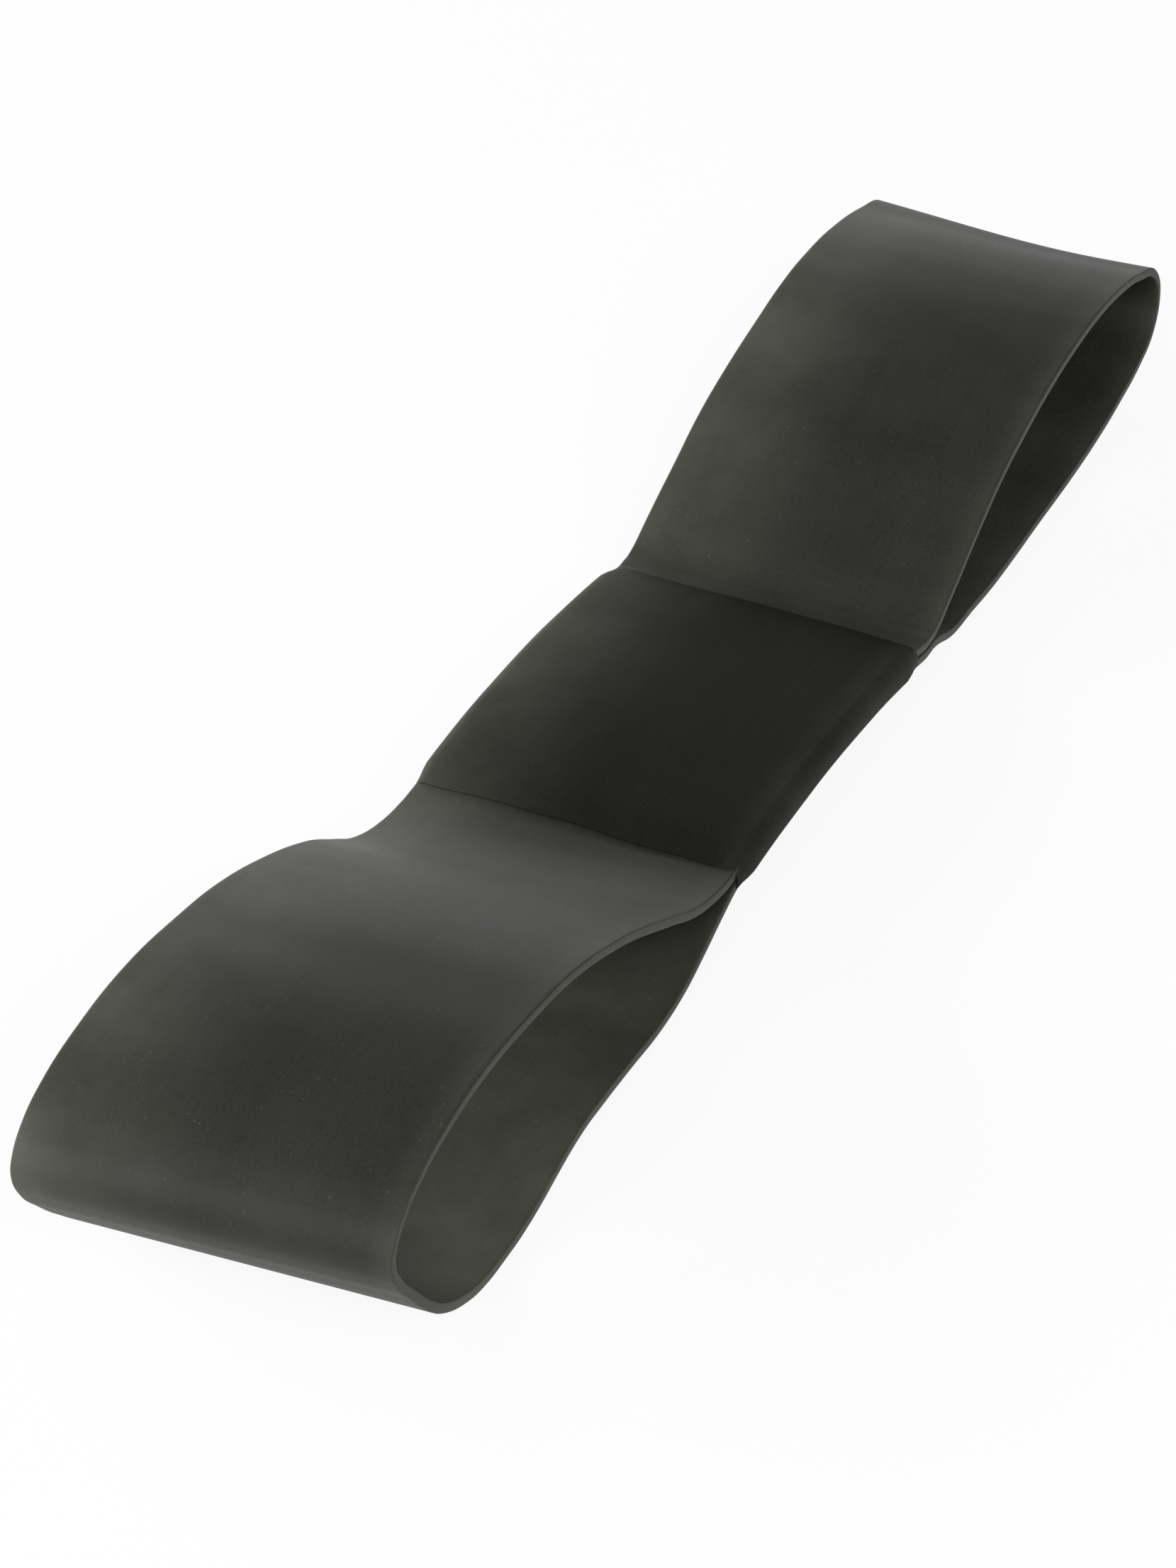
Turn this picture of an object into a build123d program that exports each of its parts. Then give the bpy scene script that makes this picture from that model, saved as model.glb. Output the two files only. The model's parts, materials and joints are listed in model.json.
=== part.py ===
from build123d import *
import math
import os

# A swimmer's ankle band: one flat rubber strip closed into a ring, pinched together in the middle
# by a glued rubber sleeve, so that it leaves an ankle loop at each end.
# X runs along the band, Y across its width and +Z up. It rests on z = 0, centred on x = y = 0.
# The real band is one piece. It is divided here where it bends, because every solid is rigid:
# at each bend line a stretch ends in a round nose, which turns in a round seat on the next stretch.

# Overall sizes, in millimetres
overall_length = 297.0          # tip of one fold to tip of the other
band_width = 50.0
band_thickness = 1.4
near_loop_height = 32.4         # crest of the loop at -X, above the table
far_loop_height = 25.9          # crest of the loop at +X

# Centre sleeve
sleeve_length = 70.0
sleeve_wall = 0.8
sleeve_corner_radius = 2.0
sleeve_bore_corner_radius = 0.3
sleeve_near_height = 10.1       # middle of the sleeve's thickness at the near mouth
sleeve_middle_height = 10.4
sleeve_far_height = 6.4         # and at the far mouth

# Rubber cement
run_film = 0.3                  # between the two runs of the band
sleeve_film = 0.2               # between the band and the sleeve
cement_margin = 1.5             # the cement stops this far short of the edges

# Bend lines
run_overhang = 1.2              # from a sleeve mouth to the bend line beside it
neck_length = 3.5               # from there to the bend line where the two runs part
near_neck_height = 9.75         # of that second bend line
far_neck_height = 6.2
bend_clearance = 0.3            # between a round nose and its seat

# Centre lines of the loops. Each point is (share of the reach from the parting line to the tip,
# share of the height from the table to the crest). A loop climbs from its neck to the crest
# hinge, goes over the top to the fold hinge, and round the tip of the fold, whose share of the
# height is given, to the flat foot that rests on the table, and back to its neck. The foot is
# given by two shares of the reach.
near_outline = {
    "rise": [(0.068, 0.345), (0.142, 0.416), (0.206, 0.526), (0.28, 0.655), (0.382, 0.794)],
    "crest": (0.51, 0.92),
    "top": [(0.604, 0.968), (0.729, 1.0), (0.845, 0.968), (0.925, 0.9), (0.9705, 0.819)],
    "hinge": (0.995, 0.726),
    "tip": 0.66,
    "fold": [(0.985, 0.535), (0.955, 0.413), (0.915, 0.268), (0.873, 0.145), (0.811, 0.042)],
    "foot": (0.755, 0.655),
    "return": [
        (0.419, 0.098), (0.336, 0.086), (0.253, 0.069), (0.174, 0.09), (0.105, 0.148), (0.049, 0.21),
    ],
}
far_outline = {
    "rise": [(0.068, 0.376), (0.128, 0.486), (0.188, 0.592), (0.253, 0.702), (0.345, 0.812)],
    "crest": (0.521, 0.951),
    "top": [(0.604, 0.989), (0.678, 1.0), (0.789, 0.971), (0.9, 0.873)],
    "hinge": (0.9795, 0.7265),
    "tip": 0.53,
    "fold": [(0.975, 0.31), (0.915, 0.165), (0.817, 0.074), (0.706, 0.02)],
    "foot": (0.595, 0.25),
    "return": [(0.16, 0.031), (0.077, 0.078)],
}
span_per_sample = 2.0           # an offset curve has about one point for each such length
shortest_line = 0.01            # a shorter straight piece is left out of an outline

# Sizes that follow
half_thickness = band_thickness / 2
run_offset = (band_thickness + run_film) / 2
neck_nose = band_thickness + run_film / 2
neck_seat = neck_nose + bend_clearance
strip_seat = half_thickness + bend_clearance
sleeve_bore = neck_nose + sleeve_film
sleeve_outside = sleeve_bore + sleeve_wall
bore_width = band_width + 2 * sleeve_film
sleeve_width = bore_width + 2 * sleeve_wall


def side_point(x, z):
    return Vector(x, 0, z)


def normal_to(direction):
    """The direction turned a quarter turn in the side view, from +X towards +Z."""
    return Vector(-direction.Z, 0, direction.X)


def smooth(points, start, end):
    """A smooth curve through points, with its two end directions."""
    return Spline(*points, tangents=[start, end], tangent_scalars=[1, 1])


def offset_curve(edge, offset, skip_start=0.0, skip_end=0.0):
    """The curve beside an edge, less a length at its start and at its end."""
    first = skip_start / edge.length
    last = 1 - skip_end / edge.length
    shapes = {GeomType.LINE: (Line, 1), GeomType.CIRCLE: (ThreePointArc, 2)}
    samples = max(3, round(edge.length / span_per_sample))
    make, steps = shapes.get(edge.geom_type, (Spline, samples))
    shares = [first + (last - first) * step / steps for step in range(steps + 1)]
    points = [(edge @ share) + normal_to(edge % share) * offset for share in shares]
    if make is Spline:
        return smooth(points, edge % first, edge % last)
    return make(*points)


def strip_side(edges, offset, start, end):
    """One long side of a strip, from its start arc to its end arc.

    start and end are (axis, radius, kind). A nose bulges past the strip's end about the axis,
    and a seat is cut back into the strip about it.
    """
    skips = []
    corners = []
    tips = []
    for (axis, radius, kind), point, along, sign in (
        (start, edges[0] @ 0, edges[0] % 0, -1),
        (end, edges[-1] @ 1, edges[-1] % 1, 1),
    ):
        corner = point + normal_to(along) * offset
        height = (corner - axis).dot(normal_to(along))
        reach = math.sqrt(max(0.0, radius**2 - height**2))
        skips.append(reach if kind == "seat" else 0.0)
        corners.append(corner)
        tips.append(corner + along * (sign * reach) if kind == "nose" else corner)
    curves = []
    for number, edge in enumerate(edges):
        skip_start = skips[0] if number == 0 else 0.0
        skip_end = skips[1] if number == len(edges) - 1 else 0.0
        curves.append(offset_curve(edge, offset, skip_start, skip_end))
    if (tips[0] - corners[0]).length > shortest_line:
        curves.insert(0, Line(tips[0], corners[0]))
    if (tips[1] - corners[1]).length > shortest_line:
        curves.append(Line(corners[1], tips[1]))
    return curves


def end_arc(low, high, axis, radius, outwards):
    """The arc about an axis that closes a strip, from its low side to its high side."""
    towards = (low - axis) + (high - axis)
    half_round = towards.length < radius / 2
    if half_round:
        towards = outwards
    return ThreePointArc(low, axis + towards.normalized() * radius, high)


def strip(edges, low, high, start, end):
    """A stretch of flat rubber between two offsets of its centre line, band_width wide."""
    low_side = strip_side(edges, low, start, end)
    high_side = strip_side(edges, high, start, end)
    start_arc = end_arc(low_side[0] @ 0, high_side[0] @ 0, *start[:2], (edges[0] % 0) * -1)
    final_arc = end_arc(low_side[-1] @ 1, high_side[-1] @ 1, *end[:2], edges[-1] % 1)
    face = make_face([*low_side, final_arc, *high_side, start_arc])
    return extrude(face, amount=band_width / 2, both=True)


def slab(low, high, width, margin=0.0):
    """A slab that follows the sleeve's line, between two offsets of it."""
    low_side = offset_curve(sleeve_line, low, margin, margin)
    high_side = offset_curve(sleeve_line, high, margin, margin)
    final_end = Line(low_side @ 1, high_side @ 1)
    start_end = Line(high_side @ 0, low_side @ 0)
    return extrude(make_face([low_side, final_end, high_side, start_end]), amount=width / 2, both=True)


def long_edges(solid):
    """The four edges that run along the sleeve."""
    return [edge for edge in solid.edges() if edge.geom_type == GeomType.CIRCLE]


def make_sleeve():
    outside = slab(-sleeve_outside, sleeve_outside, sleeve_width)
    bore = slab(-sleeve_bore, sleeve_bore, bore_width)
    outside = fillet(long_edges(outside), sleeve_corner_radius)
    bore = fillet(long_edges(bore), sleeve_bore_corner_radius)
    return outside - bore


sleeve_line = ThreePointArc(
    side_point(-sleeve_length / 2, sleeve_near_height),
    side_point(0, sleeve_middle_height),
    side_point(sleeve_length / 2, sleeve_far_height),
)
near_tip = half_thickness - overall_length / 2
far_tip = -near_tip


def make_runs():
    """The two runs of the band inside the sleeve, out to the bend lines at its mouths."""
    core = [
        Line((sleeve_line @ 0) - (sleeve_line % 0) * run_overhang, sleeve_line @ 0),
        sleeve_line,
        Line(sleeve_line @ 1, (sleeve_line @ 1) + (sleeve_line % 1) * run_overhang),
    ]
    near_nose = (core[0] @ 0, neck_nose, "nose")
    far_nose = (core[2] @ 1, neck_nose, "nose")
    inner = run_film / 2
    upper = strip(core, inner, neck_nose, near_nose, far_nose)
    lower = strip(core, -neck_nose, -inner, near_nose, far_nose)
    return upper, lower, core[0] @ 0, core[2] @ 1


def make_loop(bend, parting, tip, height, outline):
    """An ankle loop: its neck, from the bend line at the sleeve to the parting line, and four
    stretches of the band. The four hinges are corners of a parallelogram, so that the last
    stretch comes back to the parting line however far the loop is opened."""
    reach = tip - parting.X
    climb = height - band_thickness

    def place(shares):
        return side_point(parting.X + reach * shares[0], half_thickness + climb * shares[1])

    outwards = (parting - bend).normalized()
    up = normal_to(outwards) if outwards.X > 0 else normal_to(outwards) * -1
    upper_start = parting + up * run_offset
    lower_end = parting - up * run_offset
    rise = [place(point) for point in outline["rise"]]
    top = [place(point) for point in outline["top"]]
    fold = [place(point) for point in outline["fold"]]
    back = [place(point) for point in outline["return"]]
    crest = place(outline["crest"])
    hinge = place(outline["hinge"])
    belly = parting + hinge - crest
    foot_start, foot_end = (place((share, 0)) for share in outline["foot"])
    inwards = (foot_end - foot_start).normalized()

    over_crest = (top[0] - rise[-1]).normalized()
    tip_point = place((1.0, outline["tip"]))
    down = side_point(0, -1)
    over_hinge = (tip_point - top[-1]).normalized()
    belly_on_foot = (belly - foot_end).dot(inwards) < 0
    to_foot = [
        smooth([hinge, tip_point], over_hinge, down),
        smooth([tip_point, *fold, foot_start], down, inwards),
    ]
    if belly_on_foot:
        belly = side_point(belly.X, half_thickness)
        outer_edges = [*to_foot, Line(foot_start, belly)]
        inner_edges = [Line(belly, foot_end), smooth([foot_end, *back, lower_end], inwards, outwards * -1)]
    else:
        over_belly = (back[0] - foot_end).normalized()
        outer_edges = [
            *to_foot,
            Line(foot_start, foot_end),
            smooth([foot_end, belly], inwards, over_belly),
        ]
        inner_edges = [smooth([belly, *back, lower_end], over_belly, outwards * -1)]

    neck_line = [Line(bend, parting)]
    neck_ends = ((bend, neck_seat, "seat"), (parting, neck_nose, "nose"))
    inner = run_film / 2
    at_parting = (parting, neck_seat, "seat")
    halves = (-half_thickness, half_thickness)
    stretches = {
        "neck": Compound(children=[
            strip(neck_line, inner, neck_nose, *neck_ends),
            strip(neck_line, -neck_nose, -inner, *neck_ends),
        ]),
        "upper_inner": strip(
            [smooth([upper_start, *rise, crest], outwards, over_crest)],
            *halves, at_parting, (crest, half_thickness, "nose"),
        ),
        "upper_outer": strip(
            [smooth([crest, *top, hinge], over_crest, over_hinge)],
            *halves, (crest, strip_seat, "seat"), (hinge, half_thickness, "nose"),
        ),
        "lower_outer": strip(
            outer_edges,
            *halves, (hinge, strip_seat, "seat"), (belly, half_thickness, "nose"),
        ),
        "lower_inner": strip(
            inner_edges,
            *halves, (belly, strip_seat, "seat"), at_parting,
        ),
    }
    hinges = {"bend": bend, "parting": parting, "crest": crest, "hinge": hinge, "belly": belly}
    return stretches, hinges


upper_run, lower_run, near_bend, far_bend = make_runs()
near_parting = side_point(near_bend.X - neck_length, near_neck_height)
far_parting = side_point(far_bend.X + neck_length, far_neck_height)
near_loop, near_hinges = make_loop(near_bend, near_parting, near_tip, near_loop_height, near_outline)
far_loop, far_hinges = make_loop(far_bend, far_parting, far_tip, far_loop_height, far_outline)

cement_width = band_width - 2 * cement_margin
nodes = {
    "centre_sleeve": make_sleeve(),
    "upper_run": upper_run,
    "lower_run": lower_run,
    "run_cement": slab(-run_film / 2, run_film / 2, cement_width, cement_margin),
    "upper_cement": slab(neck_nose, sleeve_bore, cement_width, cement_margin),
    "lower_cement": slab(-sleeve_bore, -neck_nose, cement_width, cement_margin),
}
for end_name, loop in (("near", near_loop), ("far", far_loop)):
    for stretch_name, solid in loop.items():
        nodes[f"{end_name}_{stretch_name}"] = solid

os.makedirs("parts", exist_ok=True)
for name, solid in nodes.items():
    export_step(solid, f"parts/{name}.step")

for end_name, hinges in (("near", near_hinges), ("far", far_hinges)):
    for hinge_name, point in hinges.items():
        print(f"{end_name} {hinge_name}: x {point.X:.3f}, z {point.Z:.3f}")
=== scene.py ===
import json
import math

import bmesh
import bpy
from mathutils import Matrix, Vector
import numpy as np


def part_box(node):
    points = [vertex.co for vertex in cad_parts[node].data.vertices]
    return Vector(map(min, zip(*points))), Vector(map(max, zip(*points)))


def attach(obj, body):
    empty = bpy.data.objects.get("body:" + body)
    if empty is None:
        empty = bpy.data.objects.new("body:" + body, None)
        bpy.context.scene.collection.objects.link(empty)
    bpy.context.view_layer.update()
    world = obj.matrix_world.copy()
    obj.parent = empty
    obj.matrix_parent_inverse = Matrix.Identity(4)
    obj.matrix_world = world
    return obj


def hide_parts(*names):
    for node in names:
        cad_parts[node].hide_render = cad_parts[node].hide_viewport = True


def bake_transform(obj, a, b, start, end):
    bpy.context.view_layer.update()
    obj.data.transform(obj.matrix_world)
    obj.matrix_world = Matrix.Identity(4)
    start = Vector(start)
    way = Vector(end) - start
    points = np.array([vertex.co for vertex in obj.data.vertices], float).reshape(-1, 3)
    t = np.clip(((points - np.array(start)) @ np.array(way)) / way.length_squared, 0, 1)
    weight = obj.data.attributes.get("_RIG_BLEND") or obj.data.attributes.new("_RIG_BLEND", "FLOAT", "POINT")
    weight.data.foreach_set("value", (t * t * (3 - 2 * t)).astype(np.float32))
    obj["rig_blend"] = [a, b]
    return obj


# A swimmer's ankle band: one flat rubber strip closed into a ring and pinched together in the
# middle by a wrapped rubber sleeve. The strip is made here as smooth stretches that each cross one
# bend line, and they meet where both follow the same body.

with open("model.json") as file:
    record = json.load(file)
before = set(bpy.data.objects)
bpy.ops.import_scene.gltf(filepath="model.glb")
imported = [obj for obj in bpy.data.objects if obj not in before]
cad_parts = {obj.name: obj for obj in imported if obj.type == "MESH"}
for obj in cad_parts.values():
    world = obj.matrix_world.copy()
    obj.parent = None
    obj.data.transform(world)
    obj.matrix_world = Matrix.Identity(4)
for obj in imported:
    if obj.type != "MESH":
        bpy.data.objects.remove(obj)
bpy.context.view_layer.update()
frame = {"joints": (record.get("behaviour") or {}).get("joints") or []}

MM = 0.001
hinges = {joint["name"]: Vector(joint["pos_m"]) for joint in frame["joints"]}

# Band, in metres
BAND_HALF_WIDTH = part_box("near_upper_outer")[1].y
BAND_THICKNESS = 1.4 * MM
RUN_GAP = 0.3 * MM
RUN_OFFSET = (BAND_THICKNESS + RUN_GAP) / 2
CUT_EDGE_ROUND = 0.22 * MM
CHAIN_STEPS = 9                # edges from one point of a centre line to the next
STRIP_START = 9 * MM           # how far inside the sleeve's mouth a loop's strip begins
NECK_BEND_START = -1.2 * MM    # the rubber bends at the sleeve from here, along from the bend line,
NECK_BEND_END = 1.5 * MM       # to here
FAR_FOLD_REACH = 3.2 * MM      # how much further out the far fold lies at its +Y edge
FAR_FOLD_SAG = 0.6 * MM        # how much lower the far fold's top is in the middle of its width
NEAR_FOLD_TURN = 0.9 * MM      # how much further out the near fold lies at its +Y edge

# Sleeve, in metres
SLEEVE_HALF_LENGTH = 35 * MM
SLEEVE_WALL = 0.8 * MM
SLEEVE_HALF_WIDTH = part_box("centre_sleeve")[1].y
SLEEVE_HALF_HEIGHT = 2.55 * MM
LIP_SHARE = 0.4                # of the wall's thickness that is left at the sleeve's mouths
LIP_ROUND = 0.1 * MM
SLEEVE_CORNER = 1.75 * MM
MOUTH_SLANT = {-1: 4.9 * MM, 1: 3.8 * MM}   # each mouth lies this much further to -X at its -Y end

# Cement, in metres
CEMENT_MARGIN = 1.5 * MM       # from the film's edge to the sleeve's mouth and the band's edge
OUTER_CEMENT_THICKNESS = 0.16 * MM
OUTER_CEMENT_OFFSET = RUN_OFFSET + BAND_THICKNESS / 2 + 0.1 * MM

# Lamps, in metres and watts: (angle round from +X, angle above the floor, power)
LAMP_DISTANCE = 1.6
LAMP_SIZE = (1.8, 0.6)
LAMPS = {
    "front": (212, 36, 23),
    "behind_left": (76, 14, 18),
    "behind": (26, 8, 7),
    "low_left": (118, 20, 23),
}

# Centre lines of the loops: (share of the reach from the parting line to the tip, share of the
# height from the table to the crest)
NEAR_OUTLINE = {
    "rise": [(0.068, 0.345), (0.142, 0.416), (0.206, 0.526), (0.28, 0.655), (0.382, 0.794)],
    "top": [(0.604, 0.968), (0.729, 1.0), (0.845, 0.968), (0.925, 0.9), (0.9705, 0.819)],
    "tip": 0.66,
    "fold": [(0.985, 0.535), (0.955, 0.413), (0.915, 0.268), (0.873, 0.145), (0.811, 0.042)],
    "foot": [(0.755, 0.0), (0.655, 0.0)],
    "return": [(0.419, 0.098), (0.336, 0.086), (0.253, 0.069), (0.174, 0.09), (0.105, 0.148), (0.049, 0.21)],
}
FAR_OUTLINE = {
    "rise": [(0.068, 0.376), (0.128, 0.486), (0.188, 0.592), (0.253, 0.702), (0.345, 0.812)],
    "top": [(0.604, 0.989), (0.678, 1.0), (0.789, 0.971), (0.9, 0.873)],
    "tip": 0.53,
    "fold": [(0.975, 0.31), (0.915, 0.165), (0.817, 0.074), (0.706, 0.02)],
    "foot": [(0.595, 0.0), (0.25, 0.0)],
    "return": [(0.16, 0.031), (0.077, 0.078)],
}

# How much higher the band's +Y edge lies than its middle, and its -Y edge lower: (place along the
# band, lift), in millimetres. The rubber never lies quite level.
EDGE_LIFT = [
    (-149, 0.3), (-135, 0.4), (-120, 0.45), (-90, 0.3), (-70, 0.3), (-56, -0.35), (-36, -0.2), (-12, 0.25),
    (11, 0.6), (36, 1.0), (47, 0.75), (60, 0.35), (88, 0.3), (110, 0.75), (132, 1.0), (149, 1.2),
]


def ease(value):
    """0 below 0, 1 above 1, and a smooth step in between."""
    value = min(1.0, max(0.0, value))
    return value * value * (3 - 2 * value)


def edge_lift(x):
    """The lift of the band's +Y edge at a place along it, in metres."""
    x = min(EDGE_LIFT[-1][0], max(EDGE_LIFT[0][0], x / MM))
    for (x0, lift0), (x1, lift1) in zip(EDGE_LIFT, EDGE_LIFT[1:]):
        if x <= x1:
            return (lift0 + (lift1 - lift0) * ease((x - x0) / (x1 - x0))) * MM


def sleeve_height(x):
    """Height of the sleeve's middle line above the table."""
    share = x / SLEEVE_HALF_LENGTH
    return (10.4 - 1.85 * share - 2.15 * share**2) * MM


def sleeve_slope(x):
    share = x / SLEEVE_HALF_LENGTH
    return (-1.85 - 4.3 * share) * MM / SLEEVE_HALF_LENGTH


def link(name, mesh):
    piece = bpy.data.objects.new(name, mesh)
    bpy.context.scene.collection.objects.link(piece)
    return piece


def finished_mesh(bm, name, smooth=True):
    """The mesh of a bmesh, which is freed."""
    if smooth:
        for face in bm.faces:
            face.smooth = True
    mesh = bpy.data.meshes.new(name)
    bm.to_mesh(mesh)
    bm.free()
    return mesh


def baked(piece):
    """The piece's mesh with its modifiers applied, in place of the mesh it had."""
    bpy.context.view_layer.update()
    graph = bpy.context.evaluated_depsgraph_get()
    mesh = bpy.data.meshes.new_from_object(piece.evaluated_get(graph))
    piece.modifiers.clear()
    piece.data = mesh
    return piece


# ---------------------------------------------------------------- materials


# The second amount sets the painted light: a lighter tone at the edges and on the low inside of the near loop, where
# light falls.
AMOUNTS = ("Dust cloud amount", "Painted light amount", "Line amount", "Speck amount")


def node_tree(name):
    material = bpy.data.materials.new(name)
    material.use_nodes = True
    nodes = material.node_tree.nodes
    shader = nodes["Principled BSDF"]
    return material, nodes, material.node_tree.links, shader


def grain_and_painted_light_group():
    """Fine grain, faint lines along the strip and specks, for every rubber here, with chalky dust in random clouds,
    and painted light: a lighter tone, strongest at the +Y edge and on the low parts of the near loop, that stands
    for light falling there."""
    group = bpy.data.node_groups.new("rubber_grain_and_painted_light", "ShaderNodeTree")
    face = group.interface
    face.new_socket("Base", in_out="INPUT", socket_type="NodeSocketColor")
    face.new_socket("Dust and painted light", in_out="INPUT", socket_type="NodeSocketColor")
    for name in (*AMOUNTS, "Roughness"):
        face.new_socket(name, in_out="INPUT", socket_type="NodeSocketFloat")
    face.new_socket("Color", in_out="OUTPUT", socket_type="NodeSocketColor")
    face.new_socket("Roughness", in_out="OUTPUT", socket_type="NodeSocketFloat")
    face.new_socket("Height", in_out="OUTPUT", socket_type="NodeSocketFloat")
    nodes, links = group.nodes, group.links
    given = nodes.new("NodeGroupInput")
    out = nodes.new("NodeGroupOutput")
    place = nodes.new("ShaderNodeTexCoord")

    def noise(scale, detail, rough, stretch=None):
        texture = nodes.new("ShaderNodeTexNoise")
        texture.inputs["Scale"].default_value = scale
        texture.inputs["Detail"].default_value = detail
        texture.inputs["Roughness"].default_value = rough
        if stretch:
            mapping = nodes.new("ShaderNodeMapping")
            mapping.inputs["Scale"].default_value = stretch
            links.new(place.outputs["Object"], mapping.inputs["Vector"])
            links.new(mapping.outputs["Vector"], texture.inputs["Vector"])
        else:
            links.new(place.outputs["Object"], texture.inputs["Vector"])
        return texture.outputs["Fac"]

    def span(source, low, high, to_low=0.0, to_high=1.0):
        ramp = nodes.new("ShaderNodeMapRange")
        ramp.inputs["From Min"].default_value = low
        ramp.inputs["From Max"].default_value = high
        ramp.inputs["To Min"].default_value = to_low
        ramp.inputs["To Max"].default_value = to_high
        links.new(source, ramp.inputs["Value"])
        return ramp.outputs["Result"]

    def maths(kind, first, second):
        node = nodes.new("ShaderNodeMath")
        node.operation = kind
        for socket, value in zip(node.inputs, (first, second)):
            if isinstance(value, (int, float)):
                socket.default_value = value
            else:
                links.new(value, socket)
        return node.outputs["Value"]

    def mixed(factor, first, second):
        node = nodes.new("ShaderNodeMix")
        node.data_type = "RGBA"
        links.new(factor, node.inputs["Factor"])
        links.new(first, node.inputs["A"])
        links.new(second, node.inputs["B"])
        return node.outputs["Result"]

    grain = noise(2600, 4, 0.65)
    cloud = span(noise(38, 4, 0.6), 0.38, 0.68)
    lines = span(noise(900, 3, 0.6, (0.02, 1.0, 0.02)), 0.35, 0.7)
    specks = span(noise(1500, 1, 0.4), 0.72, 0.8)

    across = nodes.new("ShaderNodeSeparateXYZ")
    links.new(place.outputs["Object"], across.inputs["Vector"])
    # Painted light: masks that make the +Y edge, a narrow strip at the -Y edge and the low inside of the near loop
    # lighter, for the lit side and the light reaching into the loop.
    plus_edge_painted_light = maths("POWER", span(across.outputs["Y"], 0.0, BAND_HALF_WIDTH), 1.5)
    minus_edge_painted_light = maths("POWER", span(across.outputs["Y"], -19 * MM, -BAND_HALF_WIDTH), 2)
    near_loop_painted_light = maths(
        "MULTIPLY", span(across.outputs["Z"], 13 * MM, 1 * MM), span(across.outputs["X"], -40 * MM, -65 * MM)
    )
    # The painted-light masks together, broken up by the dust clouds.
    edge = maths("MAXIMUM", plus_edge_painted_light, maths("MULTIPLY", minus_edge_painted_light, 0.4))
    edge = maths("MAXIMUM", edge, maths("MULTIPLY", near_loop_painted_light, 0.95))
    edge = maths("MULTIPLY", edge, maths("ADD", maths("MULTIPLY", cloud, 0.5), 0.6))
    # The dust clouds are the rubber's own chalky tone; the masked part is painted light.
    dust_and_painted_light_share = maths(
        "ADD", maths("MULTIPLY", cloud, given.outputs["Dust cloud amount"]),
        maths("MULTIPLY", edge, given.outputs["Painted light amount"]),
    )
    ridges = maths("MULTIPLY", lines, given.outputs["Line amount"])
    dots = maths("MULTIPLY", specks, given.outputs["Speck amount"])
    mottle = span(grain, 0.3, 0.7, 0.0, 0.1)
    amount = maths("ADD", maths("ADD", dust_and_painted_light_share, maths("MULTIPLY", ridges, 0.3)), maths("ADD", dots, mottle))
    links.new(mixed(amount, given.outputs["Base"], given.outputs["Dust and painted light"]), out.inputs["Color"])
    rougher = maths("ADD", given.outputs["Roughness"], span(grain, 0.3, 0.7, -0.05, 0.05))
    links.new(rougher, out.inputs["Roughness"])
    height = maths("ADD", maths("MULTIPLY", grain, 0.5), maths("MULTIPLY", lines, 0.5))
    links.new(height, out.inputs["Height"])
    return group


def rubber(name, base, dust_and_light_colour, amounts, roughness, specular, bump, depth):
    material, nodes, links, shader = node_tree(name)
    grain = nodes.new("ShaderNodeGroup")
    grain.node_tree = grain_and_light_group
    grain.inputs["Base"].default_value = (*base, 1)
    # This lighter colour is mixed in both as the rubber's chalky dust and as painted light.
    grain.inputs["Dust and painted light"].default_value = (*dust_and_light_colour, 1)
    for socket, value in zip(AMOUNTS, amounts):
        grain.inputs[socket].default_value = value
    grain.inputs["Roughness"].default_value = roughness
    height = nodes.new("ShaderNodeBump")
    height.inputs["Strength"].default_value = bump
    height.inputs["Distance"].default_value = depth
    links.new(grain.outputs["Color"], shader.inputs["Base Color"])
    links.new(grain.outputs["Roughness"], shader.inputs["Roughness"])
    links.new(grain.outputs["Height"], height.inputs["Height"])
    links.new(height.outputs["Normal"], shader.inputs["Normal"])
    shader.inputs["Specular IOR Level"].default_value = specular
    return material


# The band's second amount, 0.88, is painted light on its edges and in the near loop.
def band_rubber():
    return rubber(
        "band_rubber", base=(0.0095, 0.0098, 0.0074), dust_and_light_colour=(0.07, 0.071, 0.057),
        amounts=(0.13, 0.88, 0.1, 0.35), roughness=0.57, specular=0.28, bump=0.45, depth=0.05 * MM,
    )


# The sleeve's second amount, 0.9, is painted light on its edges.
def sleeve_rubber():
    return rubber(
        "sleeve_rubber", base=(0.0055, 0.0057, 0.0048), dust_and_light_colour=(0.058, 0.059, 0.047),
        amounts=(0.04, 0.9, 0.08, 0.2), roughness=0.62, specular=0.05, bump=0.25, depth=0.03 * MM,
    )


def dried_cement():
    return rubber(
        "dried_cement", base=(0.045, 0.044, 0.034), dust_and_light_colour=(0.11, 0.108, 0.085),
        amounts=(0.5, 0.0, 0.0, 0.8), roughness=0.5, specular=0.4, bump=0.5, depth=0.08 * MM,
    )


# ---------------------------------------------------------------- band


def smooth_chain(points):
    """A chain of edges on a smooth line through points, with CHAIN_STEPS edges from each to the next."""
    line = bpy.data.curves.new("line", "CURVE")
    line.dimensions = "3D"
    line.resolution_u = CHAIN_STEPS
    spline = line.splines.new("BEZIER")
    spline.bezier_points.add(len(points) - 1)
    for knot, point in zip(spline.bezier_points, points):
        knot.co = point
        knot.handle_left_type = knot.handle_right_type = "AUTO"
    holder = link("line", line)
    bpy.context.view_layer.update()
    chain = bpy.data.meshes.new_from_object(holder)
    bpy.data.objects.remove(holder)
    bpy.data.curves.remove(line)
    return chain


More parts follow.
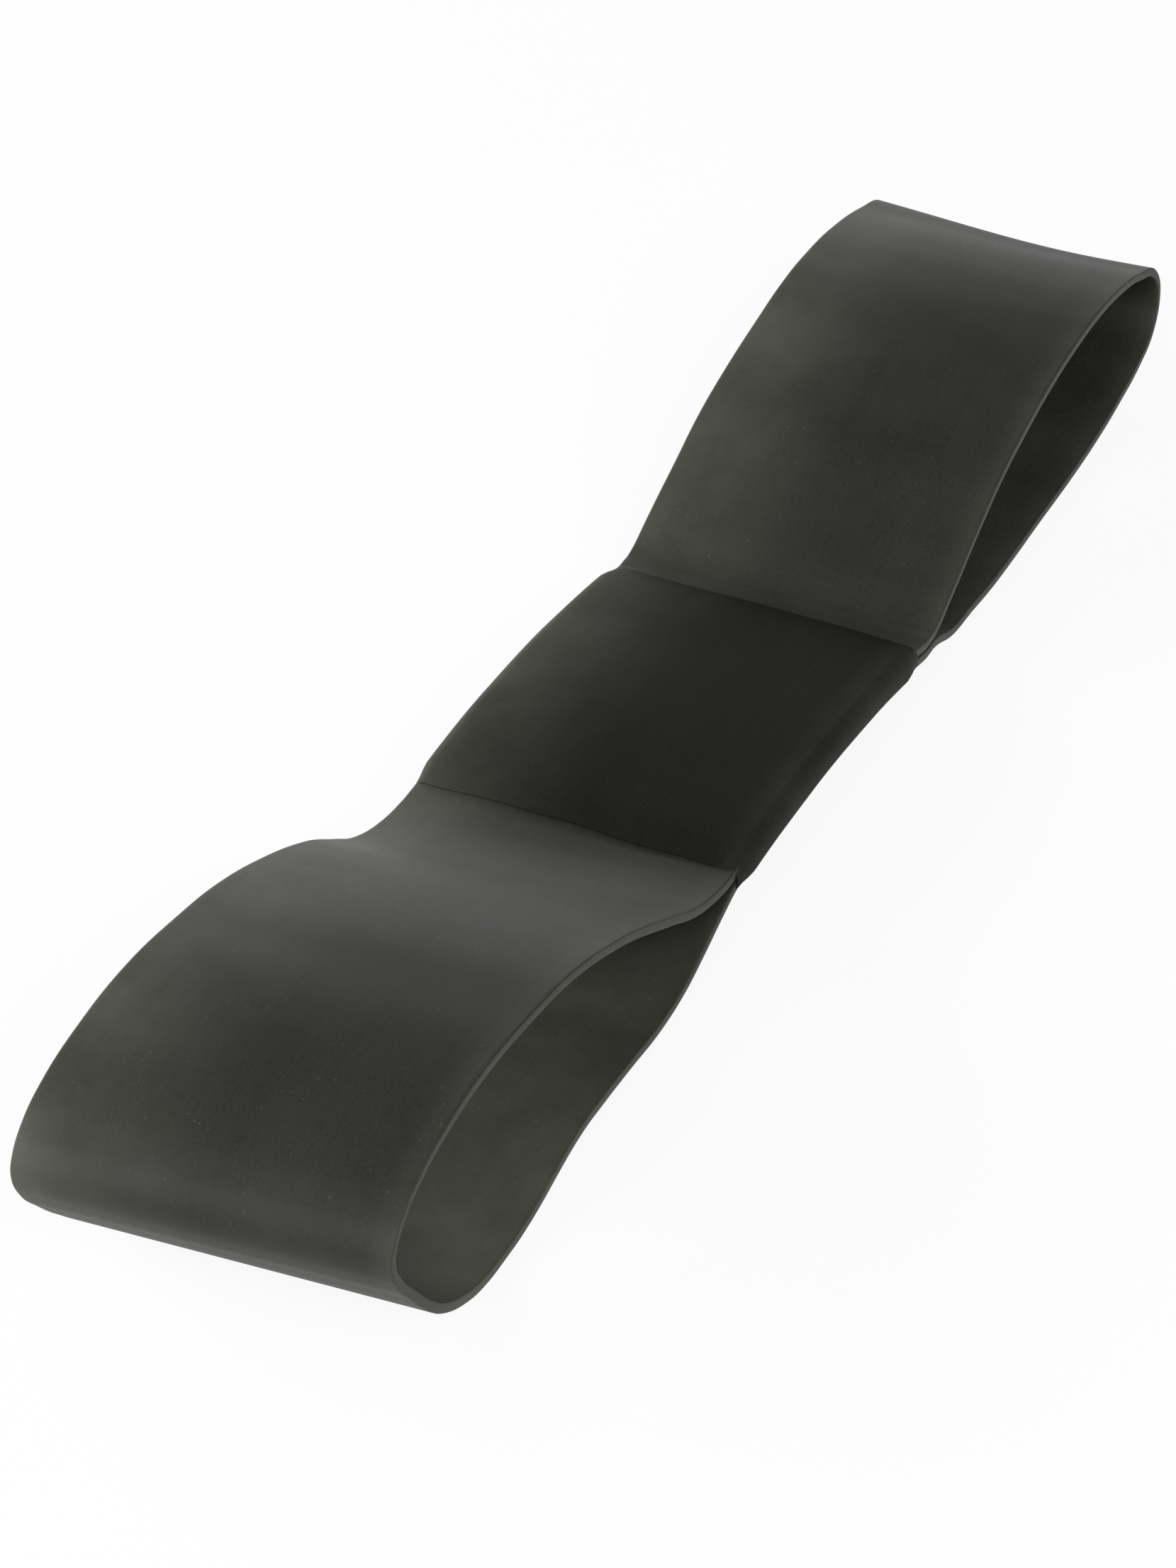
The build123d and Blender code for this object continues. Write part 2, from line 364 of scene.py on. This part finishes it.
def loop_route(end, outline):
    """The centre line of one loop of the band, from inside the sleeve above, round the loop, and
    back into the sleeve below, with the number of each seam's point."""
    side = -1 if end == "near" else 1
    bend = hinges[f"{end}_loop_swing"]
    parting = hinges[f"{end}_loop_open"]
    half = BAND_THICKNESS / 2
    low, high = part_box(f"{end}_lower_outer")
    tip = (low.x + half) if side < 0 else (high.x - half)
    crest_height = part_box(f"{end}_upper_outer")[1].z - BAND_THICKNESS

    def place(shares):
        return Vector((parting.x + (tip - parting.x) * shares[0], 0, half + crest_height * shares[1]))

    def beside(x, z, offset):
        slope = math.atan(sleeve_slope(math.copysign(SLEEVE_HALF_LENGTH, side)))
        return Vector((x - math.sin(slope) * offset, 0, z + math.cos(slope) * offset))

    def inside(distance, offset):
        x = side * (SLEEVE_HALF_LENGTH - distance)
        return beside(x, sleeve_height(x), offset)

    middle = (bend + parting) / 2
    sleeve_part = {
        sign: [
            inside(STRIP_START, sign * RUN_OFFSET),
            inside(3 * MM, sign * RUN_OFFSET),
            beside(bend.x, bend.z, sign * RUN_OFFSET),
            beside(middle.x, middle.z, sign * (RUN_OFFSET + 0.06 * MM)),
            beside(parting.x, parting.z, sign * (RUN_OFFSET + 0.15 * MM)),
        ]
        for sign in (1, -1)
    }
    stops = []

    def add(points, seam=None):
        stops.extend(points)
        if seam:
            seams[seam] = len(stops) - 1

    seams = {}
    add(sleeve_part[1][:4], "upper neck")
    add(sleeve_part[1][4:])
    rise = [place(point) for point in outline["rise"]]
    add(rise[:3], "rise")
    add(rise[3:])
    add([hinges[f"{end}_crest_bend"]])
    top = [place(point) for point in outline["top"]]
    add(top[:3], "top")
    add(top[3:])
    add([hinges[f"{end}_fold_bend"], place((1.0, outline["tip"]))])
    add([place(point) for point in outline["fold"]])
    foot = [place(point) for point in outline["foot"]]
    add(foot[:1], "foot")
    back = [place(point) for point in outline["return"]]
    belly = hinges[f"{end}_belly_bend"]
    if side * belly.x > side * foot[1].x:
        add([Vector((belly.x, 0, half)), foot[1]], "return")
        add(back)
    else:
        add([foot[1], belly, *back[:3]], "return")
        add(back[3:])
    add(sleeve_part[-1][4:], "lower parting")
    add(sleeve_part[-1][3::-1])
    seams["end"] = len(stops) - 1
    return stops, {name: number * CHAIN_STEPS for name, number in seams.items()}


def settle(place):
    """Moves a point of the even band to where the real rubber lies: it leans across its width, and
    the +Y edge of each fold reaches further out."""
    side = math.copysign(1, place.x)
    share = place.y / BAND_HALF_WIDTH
    reach = abs(place.x)
    upper = ease((place.z - 2.5 * MM) / (7 * MM))
    by_sleeve = 1 - ease((reach - 44 * MM) / (16 * MM))
    place.z += edge_lift(place.x) * share * max(upper, by_sleeve)
    at_fold = ease((reach - 126 * MM) / (20 * MM))
    if side > 0:
        place.x += at_fold * FAR_FOLD_REACH * ease((share + 0.6) / 1.7)
        place.z -= at_fold * upper * FAR_FOLD_SAG * (1 - share**2)
    else:
        place.x -= at_fold * NEAR_FOLD_TURN * share
    return place


def band_sheet(name, chain):
    """The middle surface of the band: the chain drawn across the width, then given its thickness
    and its softly rounded cut edges. Every point keeps the number of its row."""
    bm = bmesh.new()
    bm.from_mesh(chain)
    row = bm.verts.layers.float.new("row")
    for vert in bm.verts:
        vert[row] = vert.index
        vert.co.y = -BAND_HALF_WIDTH
    inner_rows = 18
    edge_step = 0.7 * MM
    even_step = (2 * BAND_HALF_WIDTH - 2 * edge_step) / inner_rows
    edges = list(bm.edges)
    for step in (edge_step, *[even_step] * inner_rows, edge_step):
        made = bmesh.ops.extrude_edge_only(bm, edges=edges)["geom"]
        verts = [item for item in made if isinstance(item, bmesh.types.BMVert)]
        fresh = set(verts)
        sides = [item for item in made if isinstance(item, bmesh.types.BMEdge)]
        edges = [edge for edge in sides if fresh.issuperset(edge.verts)]
        bmesh.ops.translate(bm, verts=verts, vec=(0, step, 0))
    for vert in bm.verts:
        vert.co = settle(vert.co.copy())
    bmesh.ops.recalc_face_normals(bm, faces=bm.faces)
    sheet = link(name, finished_mesh(bm, name, smooth=False))
    solid = sheet.modifiers.new("thickness", "SOLIDIFY")
    solid.thickness = BAND_THICKNESS
    solid.offset = 0
    solid.use_even_offset = True
    soft = sheet.modifiers.new("cut edges", "BEVEL")
    soft.width = CUT_EDGE_ROUND
    soft.segments = 3
    soft.limit_method = "ANGLE"
    soft.angle_limit = math.radians(50)
    baked(sheet)
    return sheet


def stretch(whole, name, first, last):
    """The stretch of the finished band between two rows, closed at both ends."""
    bm = bmesh.new()
    bm.from_mesh(whole.data)
    row = bm.verts.layers.float["row"]
    outside = []
    for face in bm.faces:
        middle = sum(vert[row] for vert in face.verts) / len(face.verts)
        if not first < middle < last:
            outside.append(face)
    bmesh.ops.delete(bm, geom=outside, context="FACES")
    rims = [edge for edge in bm.edges if edge.is_boundary]
    bmesh.ops.holes_fill(bm, edges=rims, sides=0)
    for edge in rims:
        edge.smooth = False
    bmesh.ops.recalc_face_normals(bm, faces=bm.faces)
    return link(name, finished_mesh(bm, name))


def dressed(piece, material):
    piece.data.materials.clear()
    piece.data.materials.append(material)
    return piece


def along_band(point, side, distance):
    """A place at a joint's height, further out along the band by a distance."""
    return (point.x + side * distance, 0, point.z)


def make_loop(end, outline):
    side = -1 if end == "near" else 1
    stops, seams = loop_route(end, outline)
    whole = band_sheet(f"{end}_whole", smooth_chain(stops))
    bend = hinges[f"{end}_loop_swing"]
    parting = hinges[f"{end}_loop_open"]
    crest = hinges[f"{end}_crest_bend"]
    fold = hinges[f"{end}_fold_bend"]
    belly = hinges[f"{end}_belly_bend"]

    def along(point, distance):
        return along_band(point, side, distance)

    spans = {
        "neck_upper": (-1, seams["upper neck"]),
        "rise": (seams["upper neck"], seams["rise"]),
        "crest": (seams["rise"], seams["top"]),
        "fold": (seams["top"], seams["foot"]),
        "belly": (seams["foot"], seams["return"]),
        "return": (seams["return"], seams["lower parting"]),
        "neck_lower": (seams["lower parting"], seams["end"] + 1),
    }
    made = {part: stretch(whole, f"{end}_{part}", *rows) for part, rows in spans.items()}
    bpy.data.objects.remove(whole)
    for piece in made.values():
        dressed(piece, band_material)

    for part in ("neck_upper", "neck_lower"):
        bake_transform(made[part], "centre", f"{end}_neck", along(bend, NECK_BEND_START), along(bend, NECK_BEND_END))
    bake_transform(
        made["rise"], f"{end}_neck", f"{end}_upper_inner",
        along(parting, -1.5 * MM), along(parting, 7 * MM),
    )
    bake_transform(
        made["crest"], f"{end}_upper_inner", f"{end}_upper_outer",
        along(crest, -18 * MM), along(crest, 18 * MM),
    )
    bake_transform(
        made["fold"], f"{end}_upper_outer", f"{end}_lower_outer",
        (fold.x, 0, fold.z + 4.5 * MM), (fold.x, 0, fold.z - 11 * MM),
    )
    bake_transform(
        made["belly"], f"{end}_lower_outer", f"{end}_lower_inner",
        along(belly, 11 * MM), along(belly, -12 * MM),
    )
    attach(made["return"], f"{end}_lower_inner")

    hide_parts(f"{end}_neck")
    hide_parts(f"{end}_upper_inner")
    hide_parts(f"{end}_upper_outer")
    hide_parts(f"{end}_lower_outer")
    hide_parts(f"{end}_lower_inner")
    return made


def make_run(name, sign):
    """The middle of the band inside the sleeve, between the ends of the two loops' strips."""
    reach = SLEEVE_HALF_LENGTH - STRIP_START
    points = []
    for number in range(7):
        x = -reach + 2 * reach * number / 6
        slope = math.atan(sleeve_slope(x))
        lift = sign * RUN_OFFSET
        points.append(Vector((x - math.sin(slope) * lift, 0, sleeve_height(x) + math.cos(slope) * lift)))
    run = band_sheet(f"{name}_strip", smooth_chain(points))
    for polygon in run.data.polygons:
        polygon.use_smooth = True
    dressed(run, band_material)
    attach(run, "centre")
    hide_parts(name)
    return run


# ---------------------------------------------------------------- sleeve and cement


def mouth_wave(across, side):
    """How far a hand-cut mouth of the sleeve strays along the band at a place across it."""
    if side < 0:
        return (0.3 * math.sin(4.1 * across + 0.6) + 0.12 * math.sin(11 * across + 2.0)) * MM
    return (0.25 * math.sin(3.3 * across + 2.2) + 0.1 * math.sin(9.5 * across + 0.4)) * MM


def slanted(x, across):
    """The sleeve's shear in plan: places along it at its -Y side lie further to -X."""
    share = (1 + x / SLEEVE_HALF_LENGTH) / 2
    return x - (MOUTH_SLANT[-1] * (1 - share) + MOUTH_SLANT[1] * share) * (1 - across) / 2


def make_sleeve():
    bm = bmesh.new()
    bmesh.ops.create_cube(bm, size=1)
    middle_width = 2 * SLEEVE_HALF_WIDTH - SLEEVE_WALL
    middle_height = 2 * SLEEVE_HALF_HEIGHT - SLEEVE_WALL
    bmesh.ops.scale(bm, vec=(2 * SLEEVE_HALF_LENGTH, middle_width, middle_height), verts=bm.verts)
    ends = [face for face in bm.faces if abs(face.normal.x) > 0.9]
    bmesh.ops.delete(bm, geom=ends, context="FACES_ONLY")
    corners = [edge for edge in bm.edges if abs(edge.verts[0].co.x - edge.verts[1].co.x) > SLEEVE_HALF_LENGTH]
    bmesh.ops.bevel(
        bm, geom=corners, offset=SLEEVE_CORNER, affect="EDGES", segments=6, profile=0.5, material=-1,
        clamp_overlap=True,
    )
    columns = 24
    for number in range(1, columns):
        y = SLEEVE_HALF_WIDTH * (-1 + 2 * number / columns) * 0.93
        bmesh.ops.bisect_plane(
            bm, geom=[*bm.verts, *bm.edges, *bm.faces], dist=1e-6, plane_co=(0, y, 0), plane_no=(0, 1, 0)
        )
    rows = 44
    for number in range(1, rows):
        x = SLEEVE_HALF_LENGTH * (-1 + 2 * number / rows)
        bmesh.ops.bisect_plane(
            bm, geom=[*bm.verts, *bm.edges, *bm.faces], dist=1e-6, plane_co=(x, 0, 0), plane_no=(1, 0, 0)
        )
    along = bm.verts.layers.float.new("along")
    for vert in bm.verts:
        x, y, z = vert.co
        share = vert[along] = x / SLEEVE_HALF_LENGTH
        across = y / SLEEVE_HALF_WIDTH
        for side in (-1, 1):
            x += ease((side * share - 0.6) / 0.4) * mouth_wave(across, side)
        x = slanted(x, across)
        swell = 0.22 * MM * math.cos(share * math.pi / 2) * (1 - 0.5 * across**2)
        at_mouth = ease((abs(share) - 0.86) / 0.14)
        y *= 1 - at_mouth * 0.014
        z *= 1 + (swell - at_mouth * 0.38 * MM) / SLEEVE_HALF_HEIGHT
        lean = math.atan(sleeve_slope(x))
        lift = edge_lift(x) * y / BAND_HALF_WIDTH
        vert.co = (x - math.sin(lean) * z, y, sleeve_height(x) + math.cos(lean) * z + lift)
    bmesh.ops.recalc_face_normals(bm, faces=bm.faces)
    mesh = finished_mesh(bm, "centre_wrap")
    sleeve = link("centre_wrap", mesh)
    full = sleeve.vertex_groups.new(name="full wall")
    for number, place in enumerate(mesh.attributes["along"].data):
        full.add([number], 1 - ease((abs(place.value) - 0.84) / 0.16), "REPLACE")
    wall = sleeve.modifiers.new("wall", "SOLIDIFY")
    wall.thickness = SLEEVE_WALL
    wall.vertex_group = "full wall"
    wall.thickness_vertex_group = LIP_SHARE
    wall.offset = 0
    wall.use_even_offset = True
    lip = sleeve.modifiers.new("lips", "BEVEL")
    lip.width = LIP_ROUND
    lip.segments = 3
    lip.limit_method = "ANGLE"
    lip.angle_limit = math.radians(50)
    baked(sleeve)
    dressed(sleeve, sleeve_material)
    bend = hinges["near_loop_swing"]
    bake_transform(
        sleeve, "centre", "near_neck",
        along_band(bend, -1, NECK_BEND_START), along_band(bend, -1, NECK_BEND_END),
    )
    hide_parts("centre_sleeve")
    return sleeve


def make_film(name, offset, thickness):
    """A film of dried cement inside the sleeve, with ragged edges."""
    bm = bmesh.new()
    bmesh.ops.create_grid(bm, x_segments=40, y_segments=28, size=1)
    half_length = SLEEVE_HALF_LENGTH - CEMENT_MARGIN
    half_width = BAND_HALF_WIDTH - CEMENT_MARGIN
    for vert in bm.verts:
        along, across = vert.co.x, vert.co.y
        ragged = 0.5 * MM * (math.sin(37 * across) + math.sin(23 * across + 1))
        x = along * half_length + ragged * along**9
        x -= MOUTH_SLANT[1] * (1 + along) / 2 * (1 - across) / 2
        y = across * half_width + 0.4 * MM * math.sin(41 * along) * across**9
        lean = math.atan(sleeve_slope(x))
        lift = edge_lift(x) * y / BAND_HALF_WIDTH
        vert.co = (x - math.sin(lean) * offset, y, sleeve_height(x) + math.cos(lean) * offset + lift)
    film = link(f"{name}_film", finished_mesh(bm, name))
    solid = film.modifiers.new("thickness", "SOLIDIFY")
    solid.thickness = thickness
    solid.offset = 0
    baked(film)
    dressed(film, cement_material)
    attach(film, "centre")
    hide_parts(name)
    return film


# ---------------------------------------------------------------- stage, light and camera


def make_stage():
    bm = bmesh.new()
    bmesh.ops.create_grid(bm, x_segments=1, y_segments=1, size=4)
    floor = link("floor", finished_mesh(bm, "floor", smooth=False))
    material, nodes, links, shader = node_tree("white_floor")
    nodes.remove(shader)
    paper = nodes.new("ShaderNodeBsdfDiffuse")
    paper.inputs["Color"].default_value = (0.9, 0.9, 0.9, 1)
    glow = nodes.new("ShaderNodeEmission")
    path = nodes.new("ShaderNodeLightPath")
    seen = nodes.new("ShaderNodeMath")
    seen.operation = "MAXIMUM"
    links.new(path.outputs["Is Camera Ray"], seen.inputs[0])
    links.new(path.outputs["Is Glossy Ray"], seen.inputs[1])
    also = nodes.new("ShaderNodeMath")
    also.operation = "MAXIMUM"
    links.new(seen.outputs["Value"], also.inputs[0])
    links.new(path.outputs["Is Transmission Ray"], also.inputs[1])
    share = nodes.new("ShaderNodeMath")
    share.operation = "MULTIPLY"
    share.inputs[1].default_value = 0.9
    links.new(also.outputs["Value"], share.inputs[0])
    blend = nodes.new("ShaderNodeMixShader")
    links.new(share.outputs["Value"], blend.inputs["Fac"])
    links.new(paper.outputs["BSDF"], blend.inputs[1])
    links.new(glow.outputs["Emission"], blend.inputs[2])
    links.new(blend.outputs["Shader"], nodes["Material Output"].inputs["Surface"])
    floor.data.materials.append(material)

    world = bpy.data.worlds.new("room")
    bpy.context.scene.world = world
    world.use_nodes = True
    sky = world.node_tree.nodes["Background"]
    ray = world.node_tree.nodes.new("ShaderNodeLightPath")
    level = world.node_tree.nodes.new("ShaderNodeMapRange")
    level.inputs["To Min"].default_value = 0.15
    level.inputs["To Max"].default_value = 1.0
    world.node_tree.links.new(ray.outputs["Is Camera Ray"], level.inputs["Value"])
    world.node_tree.links.new(level.outputs["Result"], sky.inputs["Strength"])
    sky.inputs["Color"].default_value = (1, 1, 1, 1)


def make_lamp(name, around, above, power):
    """A softbox aimed at the band from LAMP_DISTANCE away, by its angles round from +X and above
    the floor, in degrees."""
    lamp = bpy.data.lights.new(name, "AREA")
    lamp.shape = "RECTANGLE"
    lamp.size, lamp.size_y = LAMP_SIZE
    lamp.energy = power
    holder = link(name, lamp)
    around, above = math.radians(around), math.radians(above)
    level = LAMP_DISTANCE * math.cos(above)
    holder.location = (level * math.cos(around), level * math.sin(around), LAMP_DISTANCE * math.sin(above))
    holder.rotation_euler = (-holder.location).to_track_quat("-Z", "Y").to_euler()
    return holder


def make_camera():
    camera = bpy.data.cameras.new("camera")
    camera.lens = 109.04
    camera.sensor_width = 36
    camera.sensor_fit = "AUTO"
    camera.clip_start = 0.01
    holder = link("camera", camera)
    place = Vector((-541.08, -225.46, 363.97)) * MM
    aim = Vector((-27.64, 2.22, 12.0)) * MM
    holder.location = place
    turn = (aim - place).to_track_quat("-Z", "Y").to_matrix().to_4x4()
    holder.rotation_euler = turn.to_euler()
    holder.rotation_euler.rotate_axis("Z", math.radians(-0.7535))
    bpy.context.scene.camera = holder
    return holder


make_camera()
make_stage()
for lamp_name, setting in LAMPS.items():
    make_lamp(lamp_name, *setting)

grain_and_light_group = grain_and_painted_light_group()
band_material = band_rubber()
sleeve_material = sleeve_rubber()
cement_material = dried_cement()

make_loop("near", NEAR_OUTLINE)
make_loop("far", FAR_OUTLINE)
make_run("upper_run", 1)
make_run("lower_run", -1)
make_sleeve()
make_film("run_cement", 0.0, RUN_GAP)
make_film("upper_cement", OUTER_CEMENT_OFFSET, OUTER_CEMENT_THICKNESS)
make_film("lower_cement", -OUTER_CEMENT_OFFSET, OUTER_CEMENT_THICKNESS)

bpy.context.scene.view_settings.view_transform = "Standard"
